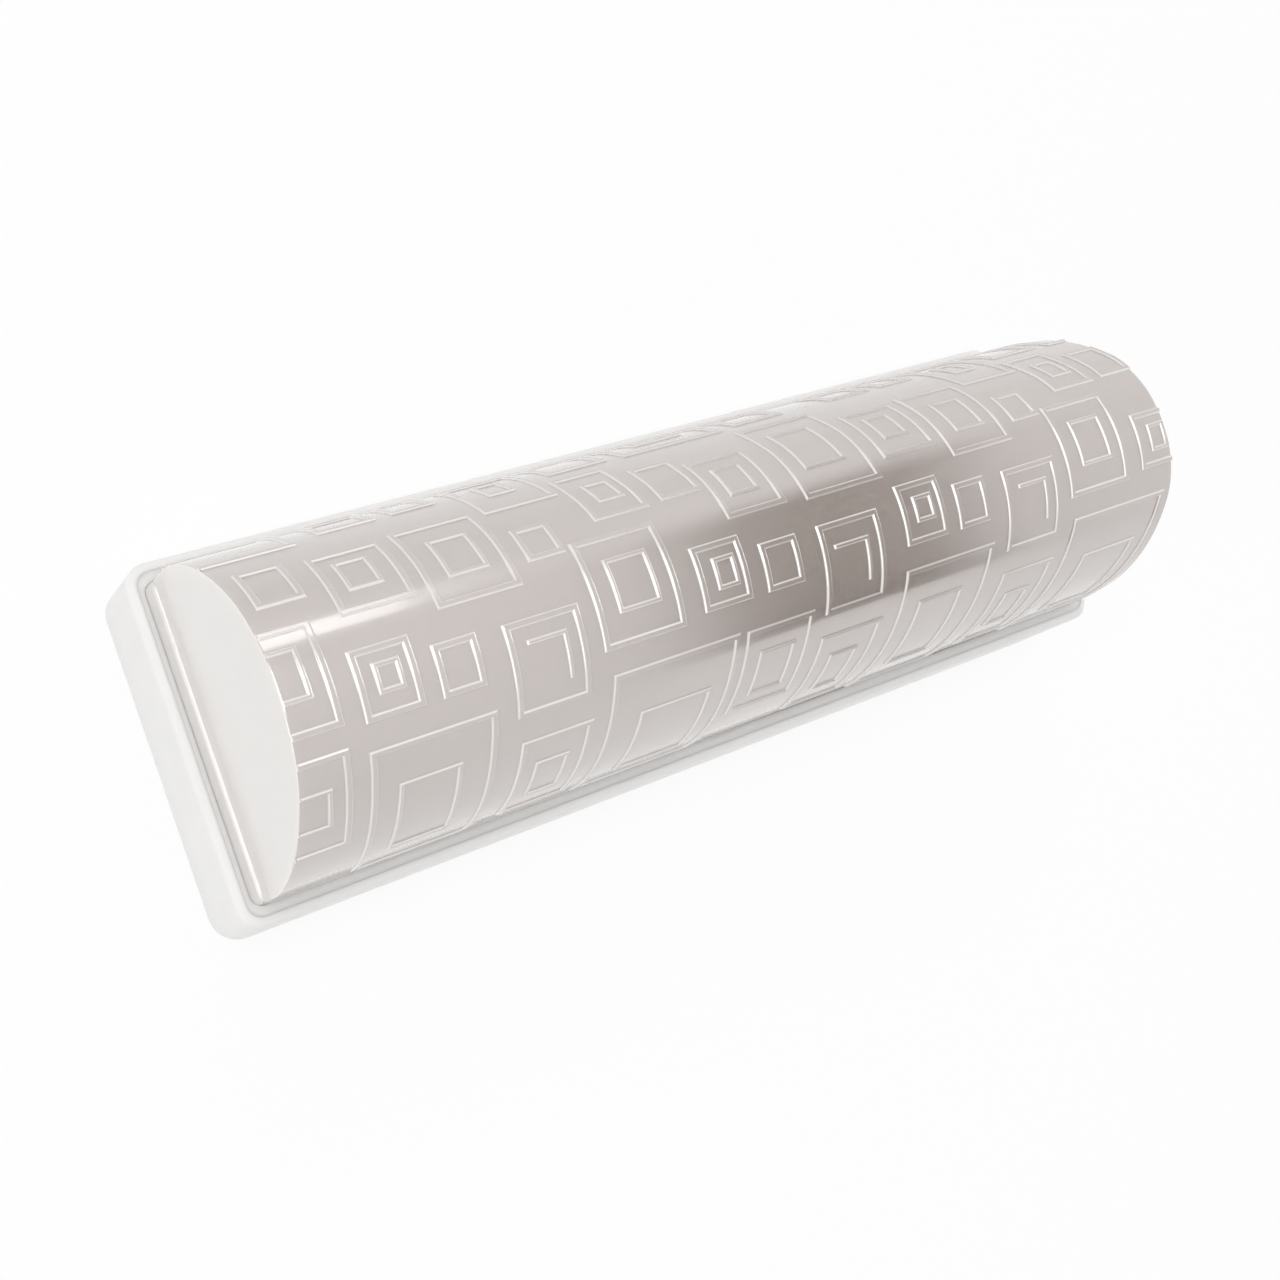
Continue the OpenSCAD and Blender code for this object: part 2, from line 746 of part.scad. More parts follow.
// Point of the section at the distance t from the crown, along the skin, and the depth d.
function skin_point(t, d) =
    let (u = abs(t), s = t < 0 ? -1 : 1)
    u < crown_t
        ? let (a = u / (crown_r - skin_d) * 180 / PI)
            [s * (crown_r - d) * sin(a), spring_z + crown_c + (crown_r - d) * cos(a)]
    : u < side_t
        ? let (a = shoulder_a + (u - crown_t) / (side_r - skin_d) * 180 / PI)
            [s * ((side_r - d) * sin(a) - side_c), spring_z + (side_r - d) * cos(a)]
    : [s * (dome_a - d), spring_z - (u - side_t)];

// Strip of the section between two distances from the crown and two depths.
module skin_strip(t0, t1, top, root) {
    steps = ceil((t1 - t0) / rib_step);
    at = [for (i = [0 : steps]) t0 + (t1 - t0) * i / steps];
    polygon(concat(
        [for (t = at) skin_point(t, top)],
        [for (i = [steps : -1 : 0]) skin_point(at[i], root)]
    ));
}

// A raised patch of the skin: s is its run along X and its run round the section.
module patch(s) {
    translate([s[0], 0, 0]) rotate([90, 0, 90]) linear_extrude(s[1] - s[0]) intersection() {
        dome_section(0, skirt_z);
        skin_strip(s[2], s[3], -1, skin_d + rib_root);
    }
}

// A raised square: a patch with the same patch, drawn in by the rib's width, cut out.
module raised_square(s, w) {
    difference() {
        patch(s);
        translate([s[0] + w, 0, 0]) rotate([90, 0, 90]) linear_extrude(s[1] - s[0] - 2 * w)
            skin_strip(s[2] + w, s[3] - w, -2, skin_d + rib_root + 1);
    }
}

function shifted(s, by) = [s[0] + by, s[1] + by, s[2], s[3]];

// The whole relief: the first squares at one end, then the repeated ones.
module relief() {
    for (s = START_OUTER) raised_square(s, rib_w);
    for (s = START_INNER) raised_square(s, fine_w);
    for (by = [0 : repeat_l : base_l / 2]) {
        for (s = OUTER) if (s[0] + by < foot_x - rib_least) raised_square(shifted(s, by), rib_w);
        for (s = INNER) if (s[0] + by < foot_x - rib_least) raised_square(shifted(s, by), fine_w);
        for (s = HOOKS) {
            patch(shifted([s[0], s[1], s[3] - fine_w, s[3]], by));
            patch(shifted([s[1] - fine_w, s[1], s[2], s[3]], by));
        }
    }
}

// The end faces' profile, along the length, drawn in by d.
module end_profile(d, z0) {
    top_run = (crown_z - band_z) * tan(end_lean);
    end_x = foot_x - band_step - d / cos(end_lean);
    rotate([90, 0, 0]) linear_extrude(base_w, center = true) polygon([
        [-end_x, z0 - 1], [end_x, z0 - 1], [end_x, band_z], [end_x - top_run, crown_z],
        [top_run - end_x, crown_z], [-end_x, band_z]
    ]);
}

// The dome between its two leaning end faces: its skin at the depth d, its ends drawn in by e.
module dome_body(d, e, z0) {
    intersection() {
        translate([0, 0, z0]) linear_extrude(crown_z - z0)
            rounded_rect(2 * (foot_x - band_step - e), 2 * (dome_a - d), band_r);
        rotate([90, 0, 90]) linear_extrude(base_l, center = true) dome_section(d, z0);
        end_profile(e, z0);
    }
}

module at_tongues() {
    for (x = [-1, 1], y = [0, 1])
        mirror([0, y, 0]) translate([x * tongue_x, 0, 0]) children();
}

// A tongue that hooks over the tray's lip and grips its inner side.
module tongue() {
    outer_y = base_w / 2 - tray_in - joint_gap;
    inner_y = outer_y - tongue_t;
    root_y = dome_a - inner_skin_d + eps;
    rotate([90, 0, 90]) linear_extrude(tongue_w, center = true) polygon([
        [root_y, skirt_z + tongue_root], [root_y, skirt_z + 1], [outer_y, skirt_z + 1],
        [outer_y, tongue_z + 1], [outer_y - 1, tongue_z], [inner_y, tongue_z],
        [inner_y, skirt_z + 2], [inner_y + 2, skirt_z + 4]
    ]);
}

// Translucent half-round cover with raised squares and snap tongues.
module diffuser() {
    color([0.86, 0.83, 0.81]) {
        difference() {
            union() {
                dome_body(skin_d, 0, skirt_z);
                intersection() {
                    relief();
                    end_profile(0, skirt_z);
                }
                intersection() {
                    translate([0, 0, skirt_z]) linear_extrude(band_z - skirt_z)
                        rounded_rect(2 * foot_x, 2 * dome_a, band_r);
                    rotate([90, 0, 90]) linear_extrude(base_l, center = true)
                        dome_section(0, skirt_z);
                }
            }
            dome_body(inner_skin_d, shell_t, skirt_z - 1);
        }
        at_tongues() tongue();
    }
}

base_housing();
cable_grommet();
fixing_seals();
rim_gasket();
gear_plate();
gear_screws();
bracket_left();
bracket_right();
bracket_screws();
lampholder_left();
lampholder_right();
holder_nuts();
screw_shell_left();
screw_shell_right();
centre_contact_left();
centre_contact_right();
terminal_block();
terminal_tubes();
terminal_screws();
block_screw();
cord_clamp();
clamp_screws();
earth_tag();
earth_screw();
live_wires();
neutral_wires();
earth_wire();
lamp_cap_left();
lamp_cap_right();
lamp_tip_left();
lamp_tip_right();
bulb_left();
bulb_right();
diffuser();
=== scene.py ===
"""Looks of the wall light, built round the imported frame."""

import json
import math

import bpy
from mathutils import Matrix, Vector
from mathutils.geometry import delaunay_2d_cdt


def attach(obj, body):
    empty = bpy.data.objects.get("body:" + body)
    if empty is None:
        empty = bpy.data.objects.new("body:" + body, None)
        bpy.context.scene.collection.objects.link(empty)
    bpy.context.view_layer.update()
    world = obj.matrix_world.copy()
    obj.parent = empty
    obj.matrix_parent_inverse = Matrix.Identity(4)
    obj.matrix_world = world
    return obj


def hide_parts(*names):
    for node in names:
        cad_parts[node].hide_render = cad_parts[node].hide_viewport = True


MM = 0.001
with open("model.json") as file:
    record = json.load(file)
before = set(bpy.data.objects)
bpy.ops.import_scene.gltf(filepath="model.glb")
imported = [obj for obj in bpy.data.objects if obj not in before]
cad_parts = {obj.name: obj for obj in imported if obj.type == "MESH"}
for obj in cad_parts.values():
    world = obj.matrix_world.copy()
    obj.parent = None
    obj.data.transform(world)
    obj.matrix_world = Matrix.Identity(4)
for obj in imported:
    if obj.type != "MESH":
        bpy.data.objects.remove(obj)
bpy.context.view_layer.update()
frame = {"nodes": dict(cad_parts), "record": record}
nodes = frame["nodes"]
scene = bpy.context.scene
scene.view_settings.view_transform = "Standard"

# ---------------------------------------------------------------- camera

cam_data = bpy.data.cameras.new("camera")
cam_data.sensor_width = 36
cam_data.lens = 43.685
cam_data.shift_x = 0.0014
cam_data.shift_y = -0.0107
cam_data.clip_start, cam_data.clip_end = 0.01, 20
camera = bpy.data.objects.new("camera", cam_data)
camera.location = (-0.22594, -0.03931, 0.42618)
camera.rotation_euler = [math.radians(a) for a in (14.321, -24.716, -22.367)]
scene.collection.objects.link(camera)
scene.camera = camera


# ---------------------------------------------------------------- sizes

# The diffuser in mm. HALF_X and END_LEAN are the scene's own, the others are the part's.
HALF_X = 142.5
BAND_X = 143.3
HALF_Y = 43.3
SKIRT_Z = 20.0
BAND_Z = 36.0
BAND_R = 3.0
SPRING_Z = 39.5
CROWN_Z = 99.0
CROWN_R = 33.0
SHELL = 2.0
END_LEAN = math.tan(math.radians(3.3))

# The relief in mm, with the part's sizes: height, ribs' widths and the length after which it repeats.
RIB_H = 0.6
RIB = 2.0
FINE = 1.5
REPEAT = 157

# Soft forms in mm, the scene's own.
FLANK = 0.6
FILLET = 0.5
SHOULDER = 1.9
FLANGE = 1.1
FLANGE_Z = 29.4
WALL_TILT = 14
JOINT = 0.02
SLOPE_W = 2.0
SLOPE_LIP = 0.6
LIP_R = 3.9
SLOPE_FOOT_Z = 28

# A square that starts nearer to the right end than this, in mm, is left out.
LEAST_ROOM = 5
# Heights, as shares of RIB_H, between which a point counts as on a rib's flank, where the painted highlight
# goes.
FLANK_SHARES = (0.1, 0.9)
# Twice the steepest slope of a rib's flank, which is half a cosine wave.
FLANK_SLOPE = math.pi * RIB_H / FLANK
# Rows across the skin's plan and cuts along half of it.
PLAN_ROWS, PLAN_CUTS = 84, 12
# How much of their gloss the end faces lose.
END_GLOSS_LOSS = 0.6


# ---------------------------------------------------------------- small helpers


def linear(*srgb):
    """Linear colour with alpha from 0-255 sRGB values."""
    return [((c / 255 + 0.055) / 1.055) ** 2.4 if c > 10 else c / 255 / 12.92 for c in srgb] + [1]


def new_object(name, mesh):
    obj = bpy.data.objects.new(name, mesh)
    scene.collection.objects.link(obj)
    return obj


class Nodes:
    """Short way to add and join shader nodes."""

    def __init__(self, material):
        self.tree = material.node_tree
        self.bsdf = self.tree.nodes.get("Principled BSDF")

    def add(self, kind, **values):
        node = self.tree.nodes.new(kind)
        for key, value in values.items():
            if key in node.inputs:
                node.inputs[key].default_value = value
            else:
                setattr(node, key, value)
        return node

    def join(self, a, b):
        self.tree.links.new(a, b)

    def position(self):
        return self.add("ShaderNodeTexCoord").outputs["Object"]

    def math(self, operation, *values):
        node = self.add("ShaderNodeMath", operation=operation)
        for socket, value in zip(node.inputs, values):
            if isinstance(value, bpy.types.NodeSocket):
                self.join(value, socket)
            else:
                socket.default_value = value
        return node.outputs[0]

    def rise(self, value, start, end):
        """0 below start, 1 above end, smooth between."""
        node = self.add("ShaderNodeMapRange", interpolation_type="SMOOTHSTEP")
        for name, number in (("From Min", start), ("From Max", end), ("To Min", 0), ("To Max", 1)):
            node.inputs[name].default_value = number
        self.join(value, node.inputs["Value"])
        return node.outputs["Result"]

    def backdrop_rays(self):
        """Two outputs: 1 for camera rays, and 1 for camera, glossy or transmission rays."""
        path = self.add("ShaderNodeLightPath").outputs
        glossy = self.math("MAXIMUM", path["Is Glossy Ray"], path["Is Transmission Ray"])
        return path["Is Camera Ray"], self.math("MAXIMUM", path["Is Camera Ray"], glossy)

    def noise(self, scale):
        node = self.add("ShaderNodeTexNoise", Scale=scale, Detail=3)
        self.join(self.position(), node.inputs["Vector"])
        return node.outputs["Fac"]

    def ramp(self, factor, low, high):
        node = self.add("ShaderNodeValToRGB")
        for element, place, colour in zip(node.color_ramp.elements, (0.3, 0.7), (low, high)):
            element.position = place
            element.color = colour
        self.join(factor, node.inputs["Fac"])
        return node.outputs["Color"]

    def bump(self, height, distance):
        node = self.add("ShaderNodeBump", Strength=0.4, Distance=distance)
        self.join(height, node.inputs["Height"])
        self.join(node.outputs["Normal"], self.bsdf.inputs["Normal"])

    def paint(self, share, colour):
        """Mix another colour, given as 0-255 sRGB values, over the base colour by share."""
        base = self.bsdf.inputs["Base Color"]
        below = base.links[0].from_socket
        mix = self.add("ShaderNodeMix", data_type="RGBA")
        self.join(share, mix.inputs[0])
        self.join(below, mix.inputs[6])
        mix.inputs[7].default_value = linear(*colour)
        self.join(mix.outputs[2], base)

    def blend(self, share, first, second):
        """Shader that goes from the first to the second by share."""
        mix = self.add("ShaderNodeMixShader")
        for socket, output in zip(mix.inputs, (share, first, second)):
            self.join(output, socket)
        return mix.outputs[0]


def material(name, colour, spread=6, roughness=(0.35, 0.5), scale=400, bump=0.00003, **sockets):
    """Principled material whose colour, gloss and fine bump vary a little over the surface."""
    mat = bpy.data.materials.new(name)
    mat.use_nodes = True
    n = Nodes(mat)
    cloud = n.noise(scale / 8)
    grain = n.noise(scale)
    shades = n.ramp(cloud, linear(*(c - spread for c in colour)), linear(*colour))
    n.join(shades, n.bsdf.inputs["Base Color"])
    rough = n.ramp(grain, [roughness[0]] * 3 + [1], [roughness[1]] * 3 + [1])
    n.join(rough, n.bsdf.inputs["Roughness"])
    if bump:
        n.bump(grain, bump)
    for key, value in sockets.items():
        n.bsdf.inputs[key.replace("_", " ")].default_value = value
    return mat


def pale_ends(mat, colour):
    """Paint the diffuser's two plain end faces paler, and make them less glossy."""
    n = Nodes(mat)
    place = n.add("ShaderNodeSeparateXYZ")
    n.join(n.position(), place.inputs[0])
    lean = n.math("MULTIPLY", n.math("SUBTRACT", place.outputs["Z"], BAND_Z * MM), END_LEAN)
    reach = n.math("ADD", n.math("ABSOLUTE", place.outputs["X"]), lean)
    end = n.rise(reach, (HALF_X - 0.3) * MM, (HALF_X - 0.1) * MM)
    n.paint(end, colour)
    gloss = n.math("MULTIPLY_ADD", end, -END_GLOSS_LOSS, 1)
    n.join(gloss, n.bsdf.inputs["Coat Weight"])
    n.join(gloss, n.bsdf.inputs["Specular IOR Level"])


def paint_flank_highlights(mat, colour, share):
    """Painted highlight: paint the ribs' flanks paler than the skin, in place of the glints that show each
    rib as light lines.
    """
    n = Nodes(mat)
    flank = n.add("ShaderNodeAttribute", attribute_name="flank")
    n.paint(n.math("MULTIPLY", flank.outputs["Fac"], share), colour)


# ---------------------------------------------------------------- materials

white_plastic = material(
    "white_plastic", (236, 235, 233), 2, (0.32, 0.4), 900, 0.000004,
    Subsurface_Weight=0.5, Subsurface_Radius=(1, 0.95, 0.9), Subsurface_Scale=0.004,
)
MATERIALS = {
    "white_plastic": white_plastic,
    "diffuser_plastic": material(
        "diffuser_plastic", (169, 156, 148), 2, (0.17, 0.24), 900, 0.000004,
        Coat_Roughness=0.07, Coat_IOR=1.9, IOR=2.2,
        Subsurface_Weight=0.5, Subsurface_Radius=(1, 0.95, 0.92), Subsurface_Scale=0.004,
    ),
    "dark_rubber": material("dark_rubber", (60, 60, 62), 8, (0.6, 0.8), 700, 0.00004),
    "grey_foam": material("grey_foam", (214, 213, 208), 14, (0.85, 0.95), 1500, 0.0001),
    "white_steel": material("white_steel", (232, 232, 230), 4, (0.3, 0.45), 500, 0.00002),
    "zinc_steel": material("zinc_steel", (196, 199, 204), 14, (0.28, 0.45), 260, 0.00001, Metallic=1),
    "zinc_screw": material("zinc_screw", (190, 194, 200), 14, (0.22, 0.4), 900, 0.00001, Metallic=1),
    "holder_plastic": material("holder_plastic", (238, 236, 230), 4, (0.3, 0.42), 700, 0.00001),
    "terminal_plastic": material("terminal_plastic", (226, 224, 216), 5, (0.35, 0.5), 700, 0.00002),
    "brass": material("brass", (214, 180, 106), 16, (0.22, 0.4), 600, 0.00001, Metallic=1),
    "tinned_brass": material("tinned_brass", (208, 202, 188), 14, (0.2, 0.38), 600, 0.00001, Metallic=1),
    "nickel_cap": material("nickel_cap", (206, 206, 202), 12, (0.16, 0.32), 500, 0.00001, Metallic=1),
    "black_insulator": material("black_insulator", (40, 40, 44), 6, (0.2, 0.35), 500, 0.00001),
    "opal_glass": material("opal_glass", (246, 246, 244), 3, (0.3, 0.4), 400, 0, Coat_Weight=0.2),
    "brown_wire": material("brown_wire", (104, 64, 40), 8, (0.35, 0.5), 900, 0.00001),
    "blue_wire": material("blue_wire", (44, 92, 170), 8, (0.35, 0.5), 900, 0.00001),
    "green_wire": material("green_wire", (92, 150, 60), 10, (0.35, 0.5), 900, 0.00001),
}
# Painted highlight: the ribs' flanks are painted near-white, standing in for the glints on them.
paint_flank_highlights(MATERIALS["diffuser_plastic"], (250, 247, 245), 0.7)
pale_ends(MATERIALS["diffuser_plastic"], (224, 220, 217))
slots = {s["node"]: s["material_slot"] for s in frame["record"]["subparts"] if "node" in s}
for name, obj in nodes.items():
    obj.data.materials.clear()
    obj.data.materials.append(MATERIALS.get(slots.get(name), white_plastic))

# ---------------------------------------------------------------- diffuser

crown_c = CROWN_Z - SPRING_Z - CROWN_R
side_r = (HALF_Y**2 + crown_c**2 - CROWN_R**2) / (2 * (HALF_Y - CROWN_R))
side_c = side_r - HALF_Y
shoulder = math.atan2(side_c, crown_c)
crown_t = (CROWN_R - RIB_H) * shoulder
side_t = crown_t + (side_r - RIB_H) * (math.pi / 2 - shoulder)
foot_t = side_t + SPRING_Z - BAND_Z


def skin(t, depth):
    """Point (y, z) and outward normal (y, z) of the section at distance t from the crown."""
    u, s = abs(t), (-1 if t < 0 else 1)
    if u < crown_t:
        a = u / (CROWN_R - RIB_H)
        r, cy, cz = CROWN_R, 0, SPRING_Z + crown_c
    elif u < side_t:
        a = shoulder + (u - crown_t) / (side_r - RIB_H)
        r, cy, cz = side_r, -side_c, SPRING_Z
    else:
        return (s * (HALF_Y - depth), SPRING_Z - (u - side_t)), (s, 0)
    ny, nz = math.sin(a), math.cos(a)
    return (s * (cy + (r - depth) * ny), cz + (r - depth) * nz), (s * ny, nz)


def end_x(z):
    """Half length of the dome at the height z."""
    return HALF_X - max(z - BAND_Z, 0) * END_LEAN


def edge_reach(t):
    """Half length of the skin at the distance t from the crown, up to the end faces' fillet."""
    return end_x(skin(t, RIB_H)[0][1]) - FILLET


# The relief's squares in mm: from and to along X, from and to round the section.
START_OUTER = [
    (-160, -126.5, -12.5, 13), (-160, -126.7, -49.5, -17.5), (-136, -124, 19, 35),
    (-160, -116.5, 43.5, 74),
]
START_INNER = [(-160, -131.5, -4.7, 8), (-160, -131.5, -39.5, -26.5)]
OUTER = [
    (-122, -107, -14, 3), (-103, -91.5, -14, -1), (-85, -64.5, -25.5, -1.5), (-60.5, -36.5, -15.5, 13),
    (-31, -16, -14, 3), (-11.5, 0.5, -14, -1), (7, 27.5, -26, -1), (-119.5, -100.5, 11, 33),
    (-98, -75.5, 6, 34.5), (-72, -61.5, 11, 22), (-73, -52, 31.5, 62), (-50.5, -34, 17, 40.5),
    (-30.5, -17.5, 17.5, 34.5), (-16.5, 2.5, 7, 30), (8, 34, 6, 41), (-122.5, -90, -75, -20.5),
    (-83.5, -63, -70, -33.5), (-58.5, -20.5, -78, -22), (-18.5, 3.5, -54.5, -22.5), (7.5, 29, -70, -33.5),
    (-110, -94.5, 47.5, 64), (-90.5, -78, 48, 70), (-47, -29, 46, 72), (-24.5, 8, 45, 78), (13, 30, 47, 66),
]
INNER = [
    (-117.5, -110.5, -8.5, -1), (-54.5, -42, -7.5, 6.5), (-26, -19, -9.5, -1), (-115, -106, 17, 28),
    (-92, -81, 13, 26.5), (-66.5, -58.5, 41.5, 54), (-45.5, -37.5, 23, 33), (-12, -2.5, 13, 24),
    (13, 27, 14.5, 33), (-115.5, -99, -62, -32.5), (-78.5, -68.5, -60, -43), (-49, -27, -68, -37.5),
    (-13.5, -1.5, -48, -30.5), (13, 23, -60, -42), (-16, 0, 54, 71),
]
HOOKS = [(-80, -69, -19, -6.5), (11, 22.7, -19.5, -7)]


def relief():
    """Squares (x0, x1, t0, t1, rib width) and hooks of the whole relief."""
    squares = [(*s, RIB) for s in START_OUTER] + [(*s, FINE) for s in START_INNER]
    hooks = []
    for by in (0, REPEAT):
        for group, w in ((OUTER, RIB), (INNER, FINE)):
            moved = [(x0 + by, x1 + by, t0, t1, w) for x0, x1, t0, t1 in group]
            squares += [s for s in moved if s[0] < HALF_X - LEAST_ROOM]
        hooks += [(x0 + by, x1 + by, t0, t1) for x0, x1, t0, t1 in HOOKS]
    return squares, hooks


def rib_height(x, t, squares, hooks):
    """Height of the relief over the skin at (x, t): a rib rises over FLANK from each of its edges."""
    best = 0.0
    for x0, x1, t0, t1, w in squares:
        d = min(x - x0, x1 - x, t - t0, t1 - t)
        if d > best:
            best = max(best, min(d, w - d))
    for x0, x1, t0, t1 in hooks:
        for a, b, c, e in ((x0, x1, t1 - FINE, t1), (x1 - FINE, x1, t0, t1)):
            best = max(best, min(x - a, b - x, t - c, e - t))
    return RIB_H * (1 - math.cos(math.pi * min(best / FLANK, 1))) / 2


def join_loops(verts, edges, rings):
    """Add closed outlines, one inside the other, with their corners joined."""
    for k, ring in enumerate(rings):
        first, n = len(verts), len(ring)
        verts.extend(ring)
        edges.extend((first + i, first + (i + 1) % n) for i in range(n))
        if k:
            edges.extend((first - n + i, first + i) for i in range(n))


def square_ring(x0, x1, t0, t1, d):
    """Outline of a square, drawn in by d."""
    return [(x0 + d, t0 + d), (x1 - d, t0 + d), (x1 - d, t1 - d), (x0 + d, t1 - d)]


def hook_ring(x0, x1, t0, t1, d):
    """Outline of a hook, drawn in by d."""
    c, e = x1 - FINE + d, t1 - FINE + d
    return [(x0 + d, e), (c, e), (c, t0 + d), (x1 - d, t0 + d), (x1 - d, t1 - d), (x0 + d, t1 - d)]


def rib_cuts(squares, hooks):
    """Points and edges along the sides of every rib's flanks, in the flat (x, t) plane."""
    verts, edges = [], []
    steps = (0, FLANK / 2, FLANK)
    for x0, x1, t0, t1, w in squares:
        join_loops(verts, edges, [square_ring(x0, x1, t0, t1, d) for d in steps])
        join_loops(verts, edges, [square_ring(x0, x1, t0, t1, w - d) for d in steps])
    for hook in hooks:
        join_loops(verts, edges, [hook_ring(*hook, d) for d in steps])
    return verts, edges


def add_grid_cuts(verts, edges):
    """Add the skin's two end edges, its rows from end to end and its cuts across them."""
    ts = [foot_t * (2 * i / PLAN_ROWS - 1) for i in range(PLAN_ROWS + 1)]
    first, n = len(verts), len(ts)
    verts += [(-edge_reach(t), t) for t in ts] + [(edge_reach(t), t) for t in ts]
    edges += [(first + i, first + i + 1) for i in range(n - 1)]
    edges += [(first + n + i, first + n + i + 1) for i in range(n - 1)]
    edges += [(first + i, first + n + i) for i in range(n)]
    for j in range(1 - PLAN_CUTS, PLAN_CUTS):
        edges.append((len(verts), len(verts) + 1))
        verts += [(j * HALF_X / PLAN_CUTS, -foot_t), (j * HALF_X / PLAN_CUTS, foot_t)]


def skin_plan(squares, hooks):
    """Points and triangles of the dome's skin in the flat (x, t) plane, cut along every rib."""
    verts, edges = rib_cuts(squares, hooks)
    add_grid_cuts(verts, edges)
    points, _, tris, *_ = delaunay_2d_cdt([Vector(v) for v in verts], edges, [], 0, 1e-4)
    kept = []
    for tri in tris:
        x = sum(points[i].x for i in tri) / 3
        t = sum(points[i].y for i in tri) / 3
        if abs(t) < foot_t and abs(x) < edge_reach(t):
            kept.append(tri)
    used = sorted({i for tri in kept for i in tri})
    number = {i: k for k, i in enumerate(used)}
    return [points[i] for i in used], [[number[i] for i in tri] for tri in kept]


def band_ring(in_x, in_y, radius):
    """Outline of the foot band, drawn in by in_x and in_y: points with their outward directions."""
    ring, steps = [], 6
    mid_x = BAND_X - in_x - radius
    mid_y = HALF_Y - in_y - radius
    for cx, cy, start in ((1, 1, 0), (-1, 1, 90), (-1, -1, 180), (1, -1, 270)):
        for s in range(steps + 1):
            a = math.radians(start + 90 * s / steps)
            u, v = math.cos(a), math.sin(a)
            ring.append((cx * mid_x + radius * u, cy * mid_y + radius * v, u, v))
    return ring + ring[:1]


class Shell:
    """Collects points, faces, one normal for each face corner and the points on ribs' flanks."""

    def __init__(self):
        self.points, self.faces, self.normals, self.flank = [], [], [], []

    def add(self, points):
        first = len(self.points)
        self.points.extend(Vector(p) for p in points)
        return list(range(first, len(self.points)))

    def face(self, corners, normals):
        self.faces.append(tuple(corners))
        self.normals.extend(normals)

    def strip(self, a, b, na, nb):
        """Quads between two rows of points with their normals."""
        for i in range(len(a) - 1):
            self.face((a[i], a[i + 1], b[i + 1], b[i]), (na[i], na[i + 1], nb[i + 1], nb[i]))

    def mesh(self, name):
        mesh = bpy.data.meshes.new(name)
        mesh.from_pydata([p * MM for p in self.points], [], self.faces)
        mesh.polygons.foreach_set("use_smooth", [True] * len(mesh.polygons))
        mesh.normals_split_custom_set([tuple(n) for n in self.normals])
        mesh.update()
        if self.flank:
            flank = mesh.attributes.new("flank", "FLOAT", "POINT")
            for i in self.flank:
                flank.data[i].value = 1
        return mesh


def plan_slope(corners, heights):
    """Direction in which the relief rises over a triangle of the plan, or None for a sliver."""
    a, b, c = corners
    rise_b, rise_c = heights[1] - heights[0], heights[2] - heights[0]
    area = (b.x - a.x) * (c.y - a.y) - (c.x - a.x) * (b.y - a.y)
    if abs(area) < 1e-6:
        return None
    slope = Vector((
        (rise_b * (c.y - a.y) - rise_c * (b.y - a.y)) / area,
        (rise_c * (b.x - a.x) - rise_b * (c.x - a.x)) / area,
    ))
    return slope.normalized() if slope.length > 0.01 else slope


def relief_normal(slope, height, across):
    """Normal on a rib's flank, from the slope's direction, the height and the section's normal."""
    rise = height / RIB_H
    gx, gt = slope * (FLANK_SLOPE * math.sqrt(max(rise * (1 - rise), 0)))
    ny, nz = across
    return Vector((-gx, ny - gt * nz, nz + gt * ny)).normalized()


def add_skin(shell):
    """The dome with its relief. Gives the rows of points along both end edges."""
    squares, hooks = relief()
    points, tris = skin_plan(squares, hooks)
    height = [rib_height(p.x, p.y, squares, hooks) for p in points]
    place = [skin(p.y, RIB_H - h) for p, h in zip(points, height)]
    shell.add([(p.x, y, z) for p, ((y, z), _) in zip(points, place)])
    low, high = FLANK_SHARES
    shell.flank = [i for i, h in enumerate(height) if low < h / RIB_H < high]
    for tri in tris:
        slope = plan_slope([points[i] for i in tri], [height[i] for i in tri])
        if slope is not None:
            shell.face(tri, [relief_normal(slope, height[i], place[i][1]) for i in tri])
    ends = []
    for side in (-1, 1):
        row = [i for i, p in enumerate(points) if abs(p.x * side - edge_reach(p.y)) < 1e-3]
        row.sort(key=lambda i: points[i].y * side)
        ends.append((side, row, [(points[i].y, height[i]) for i in row]))
    return ends


def add_end(shell, side, row, along):
    """A rounded edge round one end of the dome, and the flat end face."""
    face_n = Vector((side, 0, END_LEAN)).normalized()
    last, last_n = row, [Vector((0, *skin(t, 0)[1])) for t, _ in along]
    for step in (1, 2, 3):
        a = math.radians(30 * step)
        ring, ring_n = [], []
        for t, h in along:
            (y, z), (ny, nz) = skin(t, RIB_H - h + FILLET * (1 - math.cos(a)))
            ring.append((side * (edge_reach(t) + FILLET * math.sin(a)), y, z))
            ring_n.append((Vector((0, ny, nz)) * math.cos(a) + face_n * math.sin(a)).normalized())
        ring = shell.add(ring)
        shell.strip(ring, last, ring_n, last_n)
        last, last_n = ring, ring_n
    shell.face(reversed(last), [face_n] * len(last))


def add_rings(shell, rings):
    """Surface through closed rings of points, each ring given as (points, normals)."""
    last = None
    for points, normals in rings:
        row = shell.add(points)
        if last:
            shell.strip(last[0], row, last[1], normals)
        last = (row, normals)


def tilted(ring, tilt):
    """Normals of a ring that lean up from its outward directions by tilt degrees."""
    c, s = math.cos(math.radians(tilt)), math.sin(math.radians(tilt))
    return [Vector((u * c, v * c, s)) for _, _, u, v in ring]


